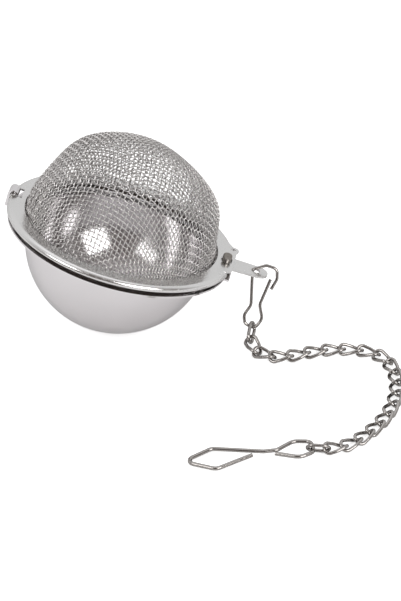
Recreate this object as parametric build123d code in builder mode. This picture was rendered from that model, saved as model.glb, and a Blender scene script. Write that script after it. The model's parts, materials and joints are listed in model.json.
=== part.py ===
"""Tea ball infuser: a steel bowl with a hinged mesh lid, a swivelling latch arm, a wire clip,
a curb chain and a wire handle hook. Units are millimetres and degrees.

The round bowl lies on the table the way a ball does, leaning towards its latch, so every piece
of the ball is drawn on planes of its own leaning frame: local X points from the hinge to the
latch, local Z is the axis of the ball. The origin is where the bowl touches the table."""

import os
from math import cos, radians, sin

from build123d import *

# Sheet metal of the bowl and the lid ring
sheet = 0.5

# Bowl: a hemisphere with a flat flange
bowl_radius = 22.4
flange_radius = 27.3
drain_radius = 0.6
drain_pitch = 9.5

# How the ball lies on the table
lean_back = -6.8
lean_side = 15.1
turn = -7.6

# Lid ring: a flat annulus with its outer edge rolled down
ring_radius = 28.0
ring_inner_radius = 23.9
ring_top = 3.3
rim_roll = 1.1
rim_height = 1.3

# Mesh dome and the ring that holds its hem
mesh_radius = 23.5
mesh_height = 22.6
mesh_thickness = 0.6
shoulder_ratio = 0.735
hem_outer_radius = 24.4
clamp_inner_radius = 22.8
clamp_height = 0.6

# Hinge: a round bar at the back of the lid ring inside a curled strap of the bowl
hinge_x = -27.3
hinge_y = 2.5
hinge_bar_radius = 0.7
hinge_running_gap = 0.08
strap_width = 4.0
strap_slot_gap = 0.5
strap_root = 0.6
slot_inner_x = -25.1

# Latch: an oblong headed stud in a slot of the lid ring, with an arm fixed to it
stud_x = 26.2
stud_neck_radius = 0.9
stud_pin_radius = 1.0
stud_pin_gap = 0.05
head_length = 4.0
head_width = 2.2
head_height = 1.1
head_rounding = 0.5
slot_clearance = 0.25
foot_radius = 1.7
foot_height = 0.6
lug_edge = 28.15
lug_front = 6.2
lug_back = 8.4
lug_corner = 26.9
lug_chamfer = 1.0
lug_root = 1.6
lower_lug_half_width = 4.5

# Latch arm: a flat strip with a hole for the clip
arm_thickness = 0.5
arm_gap = 0.15
arm_width = 6.0
arm_tip_width = 5.4
arm_tip_x = 36.6
arm_root_radius = 1.65
arm_y = 0.4
arm_hole_x = 33.5
arm_hole_y = 0.6
arm_hole_radius = 1.15

# Wires
clip_wire = 0.74
link_wire = 0.8
hook_wire = 0.95

# Curb chain: twisted links at an even pitch, with a flat oval link at each end
link_half_length = 2.75
link_half_width = 1.15
link_twist = 1.0
link_bend = 1.2
link_bulge = 0.35
link_side_bend = 3.2
link_pitch = 4.3
link_count = 21
link_rest = 1.05
oval_half_length = 2.55
oval_half_width = 1.42
oval_pitch = 4.15
oval_reach = 1.65
link_rolls = {1: 105, 21: 60}

# Handle hook: height of its eye where the last link holds it, and its slope down to the table
hook_eye_height = 1.75
hook_slope = 0.044

# Where the clip hangs, turned about the arm
clip_lean = 12.0

ball = Plane(Location((0, 0, bowl_radius), (lean_back, lean_side, turn)))
section = Plane(ball.origin, x_dir=ball.x_dir, z_dir=-ball.y_dir)
ring_under = ring_top - sheet
arm_top = ring_under - arm_gap
arm_under = arm_top - arm_thickness
hinge_z = ring_top - sheet / 2

os.makedirs("parts", exist_ok=True)


def save(part, name):
    """Label a finished piece and write its STEP file."""
    part.label = name
    export_step(part, f"parts/{name}.step")


def round_wire(path, diameter):
    """A round wire swept along one path, as a finished solid."""
    with BuildPart() as wire:
        with BuildSketch(Plane(path @ 0, z_dir=path % 0)):
            Circle(diameter / 2)
        sweep(path=path)
    return wire.part


# ---------------------------------------------------------------- bowl
loop_inner = hinge_bar_radius + hinge_running_gap
loop_outer = loop_inner + sheet
strap_outer_x = hinge_x - loop_outer
strap_plane = section.offset(-hinge_y)

with BuildPart() as bowl:
    # Hemisphere and flange in one turned section
    with BuildSketch(section):
        with BuildLine():
            inner_radius = bowl_radius - sheet
            ThreePointArc(
                (0, -bowl_radius),
                (bowl_radius * sin(radians(45)), -bowl_radius * cos(radians(45))),
                (bowl_radius, 0),
            )
            Line((bowl_radius, 0), (flange_radius, 0))
            Line((flange_radius, 0), (flange_radius, sheet))
            Line((flange_radius, sheet), (inner_radius, sheet))
            Line((inner_radius, sheet), (inner_radius, 0))
            ThreePointArc(
                (inner_radius, 0),
                (inner_radius * sin(radians(45)), -inner_radius * cos(radians(45))),
                (0, -inner_radius),
            )
            Line((0, -inner_radius), (0, -bowl_radius))
        make_face()
    revolve(axis=Axis(ball.origin, ball.z_dir))
    # Lug under the latch
    with BuildSketch(ball):
        with Locations(((flange_radius - lug_root + lug_edge) / 2, 0)):
            Rectangle(lug_edge - flange_radius + lug_root, 2 * lower_lug_half_width)
    extrude(amount=sheet)
    # Hinge strap: up outside the lid ring and curled inwards over its bar
    with BuildSketch(strap_plane):
        with Locations((hinge_x, hinge_z)):
            Circle(loop_outer)
            Circle(loop_inner, mode=Mode.SUBTRACT)
        with Locations((hinge_x + loop_outer / 2, hinge_z - loop_outer)):
            Rectangle(loop_outer * 2, loop_outer * 2, mode=Mode.SUBTRACT)
        with Locations((strap_outer_x + sheet / 2, hinge_z / 2)):
            Rectangle(sheet, hinge_z)
        with Locations(((strap_outer_x + hinge_x + strap_root) / 2, sheet / 2)):
            Rectangle(hinge_x + strap_root - strap_outer_x, sheet)
    extrude(amount=strap_width / 2, both=True)
    # Round hole for the latch stud
    with BuildSketch(ball):
        with Locations((stud_x, 0)):
            Circle(stud_pin_radius + stud_pin_gap)
    extrude(amount=sheet, mode=Mode.SUBTRACT)
    # Drain holes in the bottom
    with BuildSketch(ball.offset(-bowl_radius - 1)):
        with GridLocations(drain_pitch, drain_pitch, 3, 3):
            Circle(drain_radius)
    extrude(amount=bowl_radius, mode=Mode.SUBTRACT)
save(bowl.part, "bowl")

# ---------------------------------------------------------------- lid ring
ear_x = 27.1
ear_y = 6.6
ear_radius = 1.4
ear_hole_radius = 0.55
lug_inner_x = 25.0
ring_slope_y = 9.6
cut_margin = 1.0
strap_slot_depth = 3.0
bar_half_length = strap_width / 2 + strap_slot_gap + 0.5

with BuildPart() as lid_ring:
    with BuildSketch(section):
        with BuildLine():
            rim_inner = ring_radius - sheet
            roll_start = ring_radius - rim_roll
            Line((ring_inner_radius, ring_under), (ring_inner_radius, ring_top))
            Line((ring_inner_radius, ring_top), (roll_start, ring_top))
            RadiusArc((roll_start, ring_top), (ring_radius, ring_top - rim_roll), rim_roll)
            Line((ring_radius, ring_top - rim_roll), (ring_radius, ring_top - rim_height))
            Line((ring_radius, ring_top - rim_height), (rim_inner, ring_top - rim_height))
            Line((rim_inner, ring_top - rim_height), (rim_inner, ring_top - rim_roll))
            RadiusArc((rim_inner, ring_top - rim_roll), (roll_start, ring_under), sheet - rim_roll)
            Line((roll_start, ring_under), (ring_inner_radius, ring_under))
        make_face()
    revolve(axis=Axis(ball.origin, ball.z_dir))
    # The rim is not rolled along the latch lug
    with BuildSketch(ball.offset(ring_under)):
        with Locations((ring_radius, (lug_back - lug_front) / 2)):
            Rectangle(2 * rim_roll + cut_margin, lug_back + lug_front)
    extrude(amount=-rim_height, mode=Mode.SUBTRACT)
    with BuildSketch(ball.offset(ring_under)):
        with BuildLine():
            Polyline(
                (lug_inner_x, -lug_front),
                (lug_corner, -lug_front),
                (lug_edge, lug_chamfer - lug_front),
                (lug_edge, ear_y),
                (lug_corner, ear_y + ear_radius),
                (ear_x - ear_radius, ring_slope_y),
                (lug_inner_x, ring_slope_y),
                (lug_inner_x, -lug_front),
            )
        make_face()
        with Locations((ear_x, ear_y)):
            Circle(ear_radius)
    extrude(amount=sheet)
    with BuildSketch(ball.offset(ring_under)):
        with Locations((ear_x, ear_y)):
            Circle(ear_hole_radius)
        with Locations((stud_x, 0)):
            SlotOverall(head_length + 2 * slot_clearance, head_width + 2 * slot_clearance, rotation=90)
    extrude(amount=sheet, mode=Mode.SUBTRACT)
    # Slot for the hinge strap, crossed by the round bar
    with BuildSketch(ball.offset(ring_top + cut_margin)):
        with Locations(((slot_inner_x - ring_radius - cut_margin) / 2, hinge_y)):
            Rectangle(ring_radius + cut_margin + slot_inner_x, strap_width + 2 * strap_slot_gap)
    extrude(amount=-cut_margin - strap_slot_depth, mode=Mode.SUBTRACT)
    with BuildSketch(strap_plane):
        with Locations((hinge_x, hinge_z)):
            Circle(hinge_bar_radius)
    extrude(amount=bar_half_length, both=True)
save(lid_ring.part, "lid_ring")

# ---------------------------------------------------------------- mesh dome with its hem
dome_base = ring_under
with BuildPart() as mesh_dome:
    with BuildSketch(section):
        with BuildLine():
            shoulder = (mesh_radius * shoulder_ratio, dome_base + mesh_height * shoulder_ratio)
            Spline(
                (mesh_radius, dome_base),
                shoulder,
                (0, dome_base + mesh_height),
                tangents=((0, 1), (-1, 0)),
            )
            Line((0, dome_base + mesh_height), (0, dome_base + mesh_height - mesh_thickness))
            thin = mesh_radius - mesh_thickness
            thin_height = mesh_height - mesh_thickness
            Spline(
                (0, dome_base + thin_height),
                (thin * shoulder_ratio, dome_base + thin_height * shoulder_ratio),
                (thin, dome_base),
                tangents=((1, 0), (0, -1)),
            )
            Line((thin, dome_base), (thin, dome_base - mesh_thickness))
            Line((thin, dome_base - mesh_thickness), (hem_outer_radius, dome_base - mesh_thickness))
            Line((hem_outer_radius, dome_base - mesh_thickness), (hem_outer_radius, dome_base))
            Line((hem_outer_radius, dome_base), (mesh_radius, dome_base))
        make_face()
    revolve(axis=Axis(ball.origin, ball.z_dir))
save(mesh_dome.part, "mesh_dome")

# ---------------------------------------------------------------- clamp ring under the hem
with BuildPart() as clamp_ring:
    with BuildSketch(ball.offset(dome_base - mesh_thickness)):
        Circle(hem_outer_radius)
        Circle(clamp_inner_radius, mode=Mode.SUBTRACT)
    extrude(amount=-clamp_height)
save(clamp_ring.part, "clamp_ring")

# ---------------------------------------------------------------- latch stud
foot_gap = 0.1
head_gap = 0.15
with BuildPart() as latch_stud:
    with BuildSketch(ball.offset(-foot_gap)):
        with Locations((stud_x, 0)):
            Circle(foot_radius)
    extrude(amount=-foot_height)
    with BuildSketch(ball.offset(-foot_gap)):
        with Locations((stud_x, 0)):
            Circle(stud_pin_radius)
    extrude(amount=foot_gap + sheet + foot_gap)
    # Shoulder that carries the arm just under the lid ring
    with BuildSketch(ball.offset(sheet + foot_gap)):
        with Locations((stud_x, 0)):
            Circle(foot_radius)
    extrude(amount=arm_under - sheet - foot_gap)
    with BuildSketch(ball.offset(arm_under)):
        with Locations((stud_x, 0)):
            Circle(stud_neck_radius)
    extrude(amount=ring_top + head_gap - arm_under)
    with BuildSketch(ball.offset(ring_top + head_gap)):
        with Locations((stud_x, 0)):
            SlotOverall(head_length, head_width, rotation=90)
    extrude(amount=head_height)
    fillet(latch_stud.faces().sort_by(Axis(ball.origin, ball.z_dir))[-1].edges(), head_rounding)
save(latch_stud.part, "latch_stud")

# ---------------------------------------------------------------- latch arm
with BuildPart() as latch_arm:
    with BuildSketch(ball.offset(arm_under)):
        with BuildLine():
            tip_start = arm_tip_x - arm_tip_width / 2
            Polyline(
                (tip_start, arm_y + arm_tip_width / 2),
                (lug_edge, arm_y + arm_width / 2),
                (stud_x, arm_root_radius),
            )
            RadiusArc((stud_x, arm_root_radius), (stud_x, -arm_root_radius), -arm_root_radius)
            Polyline(
                (stud_x, -arm_root_radius),
                (lug_edge, arm_y - arm_width / 2),
                (tip_start, arm_y - arm_tip_width / 2),
            )
            ThreePointArc(
                (tip_start, arm_y - arm_tip_width / 2),
                (arm_tip_x, arm_y),
                (tip_start, arm_y + arm_tip_width / 2),
            )
        make_face()
        with Locations((stud_x, 0)):
            Circle(stud_neck_radius, mode=Mode.SUBTRACT)
        with Locations((arm_hole_x, arm_hole_y)):
            Circle(arm_hole_radius, mode=Mode.SUBTRACT)
    extrude(amount=arm_thickness)
save(latch_arm.part, "latch_arm")

# ---------------------------------------------------------------- clip, one bent wire
arm_middle = arm_under + arm_thickness / 2
clip_origin = ball.from_local_coords((arm_hole_x, arm_hole_y, arm_middle))
lean = radians(clip_lean)
clip_up = ball.z_dir * cos(lean) + ball.y_dir * sin(lean)
clip_plane = Plane(clip_origin, x_dir=ball.x_dir, z_dir=ball.x_dir.cross(clip_up))

with BuildLine(clip_plane) as clip_path:
    FilletPolyline(
        (4.1, -0.9),
        (3.4, -7.6),
        (5.0, -10.8),
        (3.9, -13.6),
        (1.3, -13.1),
        (0.5, -11.1),
        (1.45, -8.3),
        (-0.7, 0.2),
        (2.2, 2.2),
        (4.9, 2.1),
        (5.6, -0.3),
        (4.95, -3.1),
        radius=(2.4, 2.2, 1.3, 1.2, 2.2, 2.2, 0.9, 1.5, 1.4, 1.4),
    )
save(round_wire(clip_path.wires()[0], clip_wire), "clip")


# ---------------------------------------------------------------- chain
def curb_link(plane):
    """One closed link of round wire: an oval with bulged sides, its ends twisted opposite ways."""
    with BuildPart() as link:
        for side in (1, -1):
            with BuildLine(plane) as half:
                FilletPolyline(
                    (-link_half_length, 0, 0),
                    (-link_half_length, side * link_half_width, side * link_twist),
                    (0, side * (link_half_width + link_bulge), 0),
                    (link_half_length, side * link_half_width, -side * link_twist),
                    (link_half_length, 0, 0),
                    radius=(link_bend, link_side_bend, link_bend),
                )
            path = half.wires()[0]
            with BuildSketch(Plane(path @ 0, z_dir=path % 0)):
                Circle(link_wire / 2)
            sweep(path=path)
    return link.part


def oval_link(plane):
    """One closed flat link of round wire, for the ends of the chain."""
    straight = oval_half_length - oval_half_width
    with BuildPart() as link:
        for side in (1, -1):
            with BuildLine(plane) as half:
                Line((0, side * oval_half_width), (-side * straight, side * oval_half_width))
                ThreePointArc(
                    (-side * straight, side * oval_half_width),
                    (-side * oval_half_length, 0),
                    (-side * straight, -side * oval_half_width),
                )
                Line((-side * straight, -side * oval_half_width), (0, -side * oval_half_width))
            path = half.wires()[0]
            with BuildSketch(Plane(path @ 0, z_dir=path % 0)):
                Circle(link_wire / 2)
            sweep(path=path)
    return link.part


# Route of the chain: it drops from the clip and lies in an open curve on the table
with BuildLine() as route:
    Spline(
        (32.2, -9.2, 3.7),
        (31.6, -12.7, 1.95),
        (33.3, -16.4, 1.18),
        (37.0, -18.2, 1.08),
        (41.2, -17.8, link_rest),
        (45.4, -16.4, link_rest),
        (54.0, -15.0, link_rest),
        (62.4, -17.5, link_rest),
        (65.8, -25.0, link_rest),
        (65.7, -33.5, link_rest),
        (63.4, -41.6, link_rest),
        (58.6, -49.2, link_rest),
        (54.9, -53.0, 1.08),
        (51.9, -54.9, 1.22),
        (48.7, -55.9, 1.6),
        (44.8, -55.7, 1.78),
    )
route_edge = route.edges()[0]
end_span = oval_reach + oval_pitch - link_pitch / 2


def joint_point(number):
    """Where link number and the piece after it pass through each other, along the route."""
    if number == 0:
        distance = 0
    elif number == link_count:
        distance = 2 * end_span + (link_count - 2) * link_pitch
    else:
        distance = end_span + (number - 1) * link_pitch
    return route_edge.position_at(distance, position_mode=PositionMode.LENGTH)


def link_plane(number, roll):
    """Plane of one link: X along the chain and Z up, then rolled about the chain."""
    start = joint_point(number - 1)
    finish = joint_point(number)
    along = (finish - start).normalized()
    if number == 1:
        middle = start + along * oval_reach
    elif number == link_count:
        middle = finish - along * oval_reach
    else:
        middle = (start + finish) / 2
    across = Vector(0, 0, 1).cross(along).normalized()
    upright = along.cross(across)
    tilt = radians(roll)
    return Plane(middle, x_dir=along, z_dir=upright * cos(tilt) - across * sin(tilt))


for link_number in range(1, link_count + 1):
    place = link_plane(link_number, link_rolls.get(link_number, 0))
    if link_number in (1, link_count):
        link_solid = oval_link(place)
    else:
        link_solid = curb_link(place)
    save(link_solid, f"link_{link_number:02d}")

# ---------------------------------------------------------------- handle hook, one bent wire
hook_end = joint_point(link_count)
hook_x = Vector(-0.989, -0.149, -hook_slope)
hook_plane = Plane(
    (hook_end.X, hook_end.Y, hook_eye_height),
    x_dir=hook_x,
    z_dir=(-hook_slope, 0, 1),
)
with BuildLine(hook_plane) as hook_path:
    FilletPolyline(
        (13.8, 0.0),
        (22.7, 3.6),
        (29.8, -0.8),
        (22.6, -4.4),
        (11.0, -0.85),
        (7.9, -0.75),
        (3.6, -3.4),
        (-0.35, -2.4),
        (-0.35, 1.7),
        (3.1, 3.1),
        (8.5, 0.5),
        radius=(2.0, 1.5, 2.0, 3.0, 1.5, 3.0, 1.5, 1.5, 3.0),
    )
save(round_wire(hook_path.wires()[0], hook_wire), "handle_hook")
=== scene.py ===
"""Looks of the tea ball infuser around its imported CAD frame. Metres, in the row frame."""

import json
from math import cos, pi, radians, sin

import bpy
import numpy as np
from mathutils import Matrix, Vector


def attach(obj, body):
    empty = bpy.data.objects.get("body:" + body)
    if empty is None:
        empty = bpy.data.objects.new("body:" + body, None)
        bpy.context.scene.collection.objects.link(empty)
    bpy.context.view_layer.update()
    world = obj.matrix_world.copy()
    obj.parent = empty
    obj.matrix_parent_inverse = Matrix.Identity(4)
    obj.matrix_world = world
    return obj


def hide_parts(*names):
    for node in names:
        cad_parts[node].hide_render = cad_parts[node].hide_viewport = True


MM = 0.001

# ---------------------------------------------------------------- camera
camera_data = bpy.data.cameras.new("camera")
camera_data.lens = 225.35
camera_data.sensor_width = 36
camera_data.clip_end = 20
camera = bpy.data.objects.new("camera", camera_data)
camera.location = (0.01969, -0.75524, 0.51442)
camera.rotation_euler = (radians(56), 0, 0)
bpy.context.scene.collection.objects.link(camera)
bpy.context.scene.camera = camera
bpy.context.scene.view_settings.view_transform = "Standard"

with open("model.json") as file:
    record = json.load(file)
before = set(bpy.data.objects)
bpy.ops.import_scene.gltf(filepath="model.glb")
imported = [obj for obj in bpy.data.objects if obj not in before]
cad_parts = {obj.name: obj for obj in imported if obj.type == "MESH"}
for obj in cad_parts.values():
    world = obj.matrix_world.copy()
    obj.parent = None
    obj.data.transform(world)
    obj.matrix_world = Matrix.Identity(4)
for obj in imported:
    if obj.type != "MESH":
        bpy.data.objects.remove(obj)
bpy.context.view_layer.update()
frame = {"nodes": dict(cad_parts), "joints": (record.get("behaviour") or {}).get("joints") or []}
nodes = frame["nodes"]
joints = {joint["name"]: joint for joint in frame["joints"]}

# The leaning frame of the ball: its axis, the way to its hinge's back and to its latch
BALL_UP = np.array(joints["latch_turn"]["axis"])
BALL_BACK = -np.array(joints["lid_hinge"]["axis"])
BALL_SIDE = np.cross(BALL_BACK, BALL_UP)
BOWL_RADIUS = 22.4
BALL_CENTRE = np.array((0, 0, BOWL_RADIUS)) * MM


def to_world(points):
    """Points in the ball's own frame, in millimetres, as row-frame points in metres."""
    axes = np.stack((BALL_SIDE, BALL_BACK, BALL_UP))
    return BALL_CENTRE + (np.asarray(points) * MM) @ axes


# ---------------------------------------------------------------- materials
# The part of a noise texture's values that a ramp spreads over its whole range
NOISE_LOW = 0.3
NOISE_HIGH = 0.7
# Noise over one piece, in waves per metre, for the slow drift of a steel's tone
TONE_SCALE = 90


class Nodes:
    """A new procedural material: a Principled shader and the nodes that feed it."""

    def __init__(self, name, color, roughness, metallic=1.0):
        self.material = bpy.data.materials.new(name)
        self.material.use_nodes = True
        self.tree = self.material.node_tree
        self.shader = self.tree.nodes["Principled BSDF"]
        self.shader.inputs["Base Color"].default_value = (*color, 1)
        self.shader.inputs["Roughness"].default_value = roughness
        self.shader.inputs["Metallic"].default_value = metallic
        self.place = self.tree.nodes.new("ShaderNodeTexCoord").outputs["Object"]

    def noise(self, scale, detail):
        """Noise over the object's own coordinates, in waves per metre."""
        noise = self.tree.nodes.new("ShaderNodeTexNoise")
        noise.inputs["Scale"].default_value = scale
        noise.inputs["Detail"].default_value = detail
        self.tree.links.new(self.place, noise.inputs["Vector"])
        return noise.outputs["Fac"]

    def ramp(self, value, low, high, socket):
        """Runs value from low to high, two colours or two numbers, into a shader socket."""
        if isinstance(low, tuple):
            mix = self.tree.nodes.new("ShaderNodeMix")
            mix.data_type = "RGBA"
            mix.inputs["A"].default_value = (*low, 1)
            mix.inputs["B"].default_value = (*high, 1)
            self.tree.links.new(value, mix.inputs["Factor"])
            self.tree.links.new(mix.outputs["Result"], self.shader.inputs[socket])
        else:
            span = self.tree.nodes.new("ShaderNodeMapRange")
            span.inputs["From Min"].default_value = NOISE_LOW
            span.inputs["From Max"].default_value = NOISE_HIGH
            span.inputs["To Min"].default_value = low
            span.inputs["To Max"].default_value = high
            self.tree.links.new(value, span.inputs["Value"])
            self.tree.links.new(span.outputs["Result"], self.shader.inputs[socket])

    def bump(self, value, height):
        """Raises the surface by value times height, in metres."""
        bump = self.tree.nodes.new("ShaderNodeBump")
        bump.inputs["Distance"].default_value = height
        bump.inputs["Strength"].default_value = 1.0
        self.tree.links.new(value, bump.inputs["Height"])
        self.tree.links.new(bump.outputs["Normal"], self.shader.inputs["Normal"])


def steel(name, light, dark, gloss, grain, height, edge):
    """Bare steel whose tone and gloss drift a little, with a fine grain in its surface.
    Gloss is its lowest and highest roughness, edge the tint of its grazing reflections."""
    made = Nodes(name, light, gloss[0])
    made.shader.inputs["Specular Tint"].default_value = (*edge, 1)
    made.ramp(made.noise(TONE_SCALE, 2.0), dark, light, "Base Color")
    made.ramp(made.noise(grain, 4.0), *gloss, "Roughness")
    made.bump(made.noise(grain * 2, 2.0), height)
    return made.material


DULL_EDGE = (0.42, 0.40, 0.38)
BOWL_STEEL = steel(
    "bowl_steel", (0.80, 0.78, 0.79), (0.75, 0.73, 0.74), (0.10, 0.17), 700, 1e-6, (0.8, 0.8, 0.8)
)
RING_STEEL = steel(
    "ring_steel", (0.78, 0.775, 0.77), (0.72, 0.715, 0.71), (0.18, 0.28), 900, 2e-6, (0.8, 0.8, 0.8)
)
# Painted shade: the clamp ring is near-black to stand for the dark gap between the lid ring and the
# bowl's flange
GAP_SHADE_STEEL = steel(
    "clamp_painted_shade", (0.14, 0.12, 0.11), (0.09, 0.08, 0.07), (0.35, 0.50), 900, 2e-6, DULL_EDGE
)
STUD_STEEL = steel(
    "stud_steel", (0.36, 0.34, 0.32), (0.26, 0.24, 0.22), (0.25, 0.40), 1500, 4e-6, DULL_EDGE
)
WIRE_STEEL = steel(
    "wire_steel", (0.48, 0.46, 0.44), (0.34, 0.32, 0.31), (0.12, 0.22), 1200, 2e-6, (0.2, 0.2, 0.2)
)
MESH_STEEL = steel(
    "mesh_steel", (0.76, 0.74, 0.73), (0.64, 0.62, 0.61), (0.23, 0.32), 1500, 1e-6, (0.2, 0.2, 0.2)
)


def dress(obj, material):
    """Gives a piece its one material."""
    obj.data.materials.clear()
    obj.data.materials.append(material)


# ---------------------------------------------------------------- woven dome
# Pitch and thickness of the wires, half the height of their waves, and the turn of the net
# about the ball's axis; then the dome's size and the fineness of its tubes
MESH_PITCH = 1.12
MESH_WIRE = 0.30
WAVE = 0.19
NET_TURN = radians(-14)
DOME_RADIUS = 23.5
DOME_BASE = 2.8
WAVE_STEPS = 4
WIRE_SIDES = 6
HALF_COUNT = 36
# Slope past the edge where a wire's crossings end, and the fewest pitches that make a wire
PAST_EDGE = 0.05
SHORTEST_WIRE = 3
# Step between the points that give the dome's normals, and how steep a way counts as its top
NORMAL_STEP = 1e-4
NEAR_TOP = 0.9
EDGE = radians(94.5)
# Reach of the cloth from the centre of its base: at the top, added at the foot, and added
# at the shoulder; then the foot, where the lid ring holds it, and its turn to the hem
TOP_REACH = 22.5
FOOT_REACH = 0.7
SHOULDER_REACH = 0.5
HELD_REACH = DOME_RADIUS - 0.35
HELD_FROM = radians(80)
HELD_SPAN = radians(10)
NECK = radians(90)
HEM_DROP = 0.45

# Low bumps and dents of the hand-pressed dome: direction from the centre of its base in
# the ball's own frame, height in millimetres, width in degrees
DENTS = (
    ((-0.62, 0.10, 0.78), 0.70, 24),
    ((0.45, 0.35, 0.82), -0.75, 20),
    ((0.86, 0.15, 0.48), 0.55, 13),
    ((0.98, 0.10, 0.15), -0.6, 16),
    ((-0.86, 0.20, 0.42), -1.1, 15),
)
# Pleats where the cloth leans most, at the foot of the dome: azimuth, height, number a turn;
# they fade out around it and up it, and lean as they rise
PLEAT_WIDTH = radians(26)
PLEAT_TOP = radians(48)
PLEAT_SPAN = radians(42)
PLEAT_FADE = 1.5
PLEAT_LEAN = 3
PLEATS = ((192, 0.50, 44), (315, 0.25, 30), (45, 0.25, 30), (135, 0.3, 30))


def unit(vectors):
    """Vectors scaled to length one."""
    return vectors / np.linalg.norm(vectors, axis=-1, keepdims=True)


def dome_surface(ways):
    """Middle surface of the woven dome, for unit vectors from the centre of its base."""
    slope = np.arccos(np.clip(ways[..., 2], -1, 1))
    around = np.arctan2(ways[..., 1], ways[..., 0])
    reach = TOP_REACH + FOOT_REACH * np.sin(slope) ** 2 + SHOULDER_REACH * np.sin(2 * slope) ** 2
    low = np.clip((slope - PLEAT_TOP) / PLEAT_SPAN, 0, 1)
    for way, height, width in DENTS:
        apart = np.arccos(np.clip(ways @ unit(np.array(way)), -1, 1))
        reach = reach + height * np.exp(-((apart / radians(width)) ** 2))
    for azimuth, height, turns in PLEATS:
        apart = np.abs((around - radians(azimuth) + pi) % (2 * pi) - pi)
        fade = np.exp(-((apart / PLEAT_WIDTH) ** 2)) * low**PLEAT_FADE
        reach = reach + height * fade * np.sin(turns * around + PLEAT_LEAN * slope)
    held = np.clip((slope - HELD_FROM) / HELD_SPAN, 0, 1)
    reach = reach * (1 - held) + HELD_REACH * held
    rise = np.minimum(slope, NECK)
    past = np.clip(slope - NECK, 0, None) * DOME_RADIUS
    radius = reach * np.sin(rise) + np.clip(past - HEM_DROP, 0, None)
    height = DOME_BASE + reach * np.cos(rise) - np.minimum(past, HEM_DROP)
    return np.stack((radius * np.cos(around), radius * np.sin(around), height), -1)


def net():
    """Wire crossings of a flat square weave drawn over a sphere, as unit vectors [i, j]:
    every side of every cell stays one pitch long, so the cells lean along the diagonals."""
    step = MESH_PITCH / DOME_RADIUS
    count = HALF_COUNT
    points = np.zeros((count + 1, count + 1, 3))
    for k in range(count + 1):
        points[k, 0] = (sin(k * step), 0, cos(k * step))
        points[0, k] = (0, sin(k * step), cos(k * step))
    for i in range(1, count + 1):
        for j in range(1, count + 1):
            mirror = unit(np.cross(points[i - 1, j], points[i, j - 1]))
            corner = points[i - 1, j - 1]
            points[i, j] = corner - 2 * (corner @ mirror) * mirror
    return points


def line_ways(quarter, fixed, along_x):
    """One wire of the net: unit vectors at WAVE_STEPS a pitch, between its two ends."""
    half = quarter[:, abs(fixed)] if along_x else quarter[abs(fixed), :]
    slope = np.arccos(np.clip(half[:, 2], -1, 1))
    over = np.nonzero(slope > EDGE + PAST_EDGE)[0]
    last = over[0] if len(over) else len(slope) - 1
    half = half[: last + 1]
    mirror = np.array((-1, 1, 1)) if along_x else np.array((1, -1, 1))
    crossings = np.concatenate((half[:0:-1] * mirror, half))
    if fixed < 0:
        crossings = crossings * (np.array((1, -1, 1)) if along_x else np.array((-1, 1, 1)))
    steps = np.arange(-last * WAVE_STEPS, last * WAVE_STEPS + 1) / WAVE_STEPS
    cell = np.clip(np.floor(steps).astype(int), -last, last - 1)
    t = (steps - cell)[:, None]
    at = cell + last
    p1, p2 = crossings[at], crossings[at + 1]
    p0 = crossings[np.maximum(at - 1, 0)]
    p3 = crossings[np.minimum(at + 2, 2 * last)]
    ways = 0.5 * (
        2 * p1
        + (p2 - p0) * t
        + (2 * p0 - 5 * p1 + 4 * p2 - p3) * t**2
        + (3 * p1 - p0 - 3 * p2 + p3) * t**3
    )
    turned = ((cos(NET_TURN), sin(NET_TURN), 0), (-sin(NET_TURN), cos(NET_TURN), 0), (0, 0, 1))
    ways = unit(ways) @ np.array(turned)
    keep = np.arccos(np.clip(ways[:, 2], -1, 1)) <= EDGE
    return ways[keep], steps[keep]


def wire_mesh(lines, name):
    """Round wires along centre lines, each a closed tube with flat ends, as one object.
    Each line is (points, reference normals) in millimetres in the ball's own frame."""
    corners, faces, start = [], [], 0
    turns = np.arange(WIRE_SIDES) * 2 * pi / WIRE_SIDES
    for points, normals in lines:
        along = unit(np.gradient(points, axis=0))
        side = unit(np.cross(along, normals))
        up = np.cross(side, along)
        ring = np.cos(turns)[:, None] * up[:, None] + np.sin(turns)[:, None] * side[:, None]
        tube = points[:, None] + ring * MESH_WIRE / 2
        count = len(points)
        corners.append(to_world(tube.reshape(-1, 3)))
        a = np.arange(count - 1)[:, None] * WIRE_SIDES + np.arange(WIRE_SIDES)[None]
        b = a - np.arange(WIRE_SIDES) + (np.arange(WIRE_SIDES) + 1) % WIRE_SIDES
        faces.append(start + np.stack((a, b, b + WIRE_SIDES, a + WIRE_SIDES), -1).reshape(-1, 4))
        ends = np.arange(WIRE_SIDES)
        for first, order in ((start, ends[::-1]), (start + (count - 1) * WIRE_SIDES, ends)):
            cap = first + order
            faces.append(np.array((cap[:4], cap[[0, 3, 4, 5]])))
        start += count * WIRE_SIDES
    mesh = bpy.data.meshes.new(name)
    corners = np.concatenate(corners)
    faces = np.concatenate(faces)
    mesh.vertices.add(len(corners))
    mesh.vertices.foreach_set("co", corners.ravel())
    mesh.loops.add(faces.size)
    mesh.loops.foreach_set("vertex_index", faces.ravel())
    mesh.polygons.add(len(faces))
    mesh.polygons.foreach_set("loop_start", np.arange(len(faces)) * 4)
    mesh.update(calc_edges=True)
    mesh.polygons.foreach_set("use_smooth", np.ones(len(faces), bool))
    made = bpy.data.objects.new(name, mesh)
    bpy.context.scene.collection.objects.link(made)
    return made


def dome_normals(ways):
    """Outward normals of the dome's middle surface."""
    lift = np.where(np.abs(ways[..., 2:3]) < NEAR_TOP, (0, 0, 1), (1, 0, 0))
    first = unit(np.cross(ways, lift))
    second = np.cross(ways, first)
    middle = dome_surface(ways)
    a = dome_surface(unit(ways + NORMAL_STEP * first)) - middle
    b = dome_surface(unit(ways + NORMAL_STEP * second)) - middle
    normal = unit(np.cross(a, b))
    return normal * np.sign(np.sum(normal * ways, -1, keepdims=True))


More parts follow.
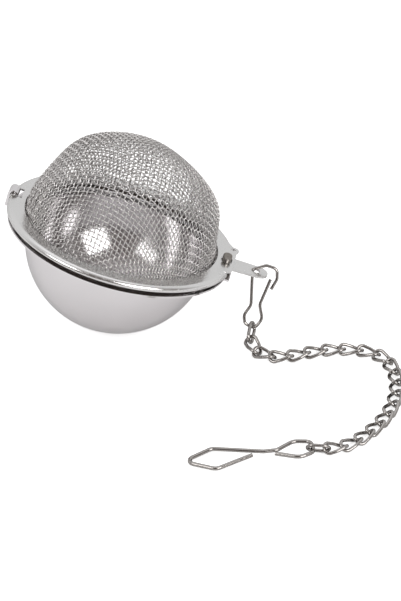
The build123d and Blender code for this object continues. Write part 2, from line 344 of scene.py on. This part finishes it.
def weave(along_x, name):
    """All the dome's wires of one direction, waving over and under the other direction's."""
    quarter = net()
    lines = []
    for fixed in range(-HALF_COUNT + 1, HALF_COUNT):
        ways, steps = line_ways(quarter, fixed, along_x)
        if len(ways) < SHORTEST_WIRE * WAVE_STEPS:
            continue
        normals = dome_normals(ways)
        phase = fixed + (0 if along_x else 1)
        wave = WAVE * np.cos(pi * (steps + phase))
        lines.append((dome_surface(ways) + wave[:, None] * normals, normals))
    made = wire_mesh(lines, name)
    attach(made, "lid")
    made.data.materials.append(MESH_STEEL)
    return made


warp = weave(True, "mesh_wires_across")
weft = weave(False, "mesh_wires_back")
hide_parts("mesh_dome")

# ---------------------------------------------------------------- dress the CAD nodes
for name, node in nodes.items():
    if name.startswith("link") or name in ("clip", "handle_hook"):
        dress(node, WIRE_STEEL)
    elif name == "bowl":
        dress(node, BOWL_STEEL)
    elif name == "latch_stud":
        dress(node, STUD_STEEL)
    elif name == "mesh_dome":
        dress(node, MESH_STEEL)
    # The clamp ring gets the near-black painted shade of the gap under the lid ring
    elif name == "clamp_ring":
        dress(node, GAP_SHADE_STEEL)
    else:
        dress(node, RING_STEEL)

# ---------------------------------------------------------------- floor and light
FLOOR_HALF = 8.0
FLOOR_GLOW = 0.60
LIGHT_DISTANCE = 1.5
floor_mesh = bpy.data.meshes.new("floor")
floor_mesh.from_pydata(
    [(x * FLOOR_HALF, y * FLOOR_HALF, 0) for x, y in ((-1, -1), (1, -1), (1, 1), (-1, 1))],
    [],
    [(0, 1, 2, 3)],
)
floor = bpy.data.objects.new("floor", floor_mesh)
bpy.context.scene.collection.objects.link(floor)
paint = Nodes("floor_paint", (0.88, 0.88, 0.88), 0.9, 0.0)
paint.ramp(paint.noise(3, 2.0), (0.87, 0.87, 0.87), (0.89, 0.89, 0.89), "Base Color")
paint.shader.inputs["Specular IOR Level"].default_value = 0.1
paint.shader.inputs["Emission Color"].default_value = (1, 1, 1, 1)
# The camera sees the floor over-exposed; the steel reflects it at its own tone
seen = paint.tree.nodes.new("ShaderNodeLightPath").outputs["Is Camera Ray"]
glow = paint.tree.nodes.new("ShaderNodeMath")
glow.operation = "MULTIPLY"
glow.inputs[1].default_value = FLOOR_GLOW
paint.tree.links.new(seen, glow.inputs[0])
paint.tree.links.new(glow.outputs[0], paint.shader.inputs["Emission Strength"])
dress(floor, paint.material)


def studio_world():
    """A pale sweep behind and above, and a dim brownish room on the camera's side."""
    world = bpy.data.worlds.new("studio")
    world.use_nodes = True
    tree = world.node_tree
    way = tree.nodes.new("ShaderNodeTexCoord").outputs["Generated"]
    parts = tree.nodes.new("ShaderNodeSeparateXYZ")
    tree.links.new(way, parts.inputs[0])
    back = tree.nodes.new("ShaderNodeValToRGB")
    back.color_ramp.elements[0].position = 0.25
    back.color_ramp.elements[0].color = (0.13, 0.11, 0.10, 1)
    back.color_ramp.elements[1].position = 0.62
    back.color_ramp.elements[1].color = (0.80, 0.80, 0.80, 1)
    half = tree.nodes.new("ShaderNodeMath")
    half.operation = "MULTIPLY_ADD"
    half.inputs[1].default_value = 0.5
    half.inputs[2].default_value = 0.5
    tree.links.new(parts.outputs["Y"], half.inputs[0])
    tree.links.new(half.outputs[0], back.inputs[0])
    overhead = tree.nodes.new("ShaderNodeValToRGB")
    overhead.color_ramp.elements[0].position = 0.72
    overhead.color_ramp.elements[0].color = (0, 0, 0, 1)
    overhead.color_ramp.elements[1].position = 0.95
    overhead.color_ramp.elements[1].color = (0.35, 0.35, 0.36, 1)
    tree.links.new(parts.outputs["Z"], overhead.inputs[0])
    both = tree.nodes.new("ShaderNodeMix")
    both.data_type = "RGBA"
    both.blend_type = "ADD"
    both.inputs["Factor"].default_value = 1.0
    tree.links.new(back.outputs["Color"], both.inputs["A"])
    tree.links.new(overhead.outputs["Color"], both.inputs["B"])
    tree.links.new(both.outputs["Result"], tree.nodes["Background"].inputs["Color"])
    bpy.context.scene.world = world


def softbox(name, azimuth, elevation, size, radiance):
    """A square soft light that faces the object from far off. Azimuth 0 is the camera's."""
    light = bpy.data.lights.new(name, "AREA")
    light.shape = "RECTANGLE"
    light.size, light.size_y = size
    light.energy = radiance * pi * size[0] * size[1]
    lamp = bpy.data.objects.new(name, light)
    a, e = radians(azimuth), radians(elevation)
    away = Vector((sin(a) * cos(e), -cos(a) * cos(e), sin(e)))
    lamp.location = away * LIGHT_DISTANCE
    lamp.rotation_euler = away.to_track_quat("Z", "Y").to_euler()
    lamp.visible_camera = False
    bpy.context.scene.collection.objects.link(lamp)


studio_world()
softbox("softbox_right", 35, 29, (0.85, 0.75), 5.0)
softbox("softbox_left", -50, 36, (0.75, 0.6), 4.0)
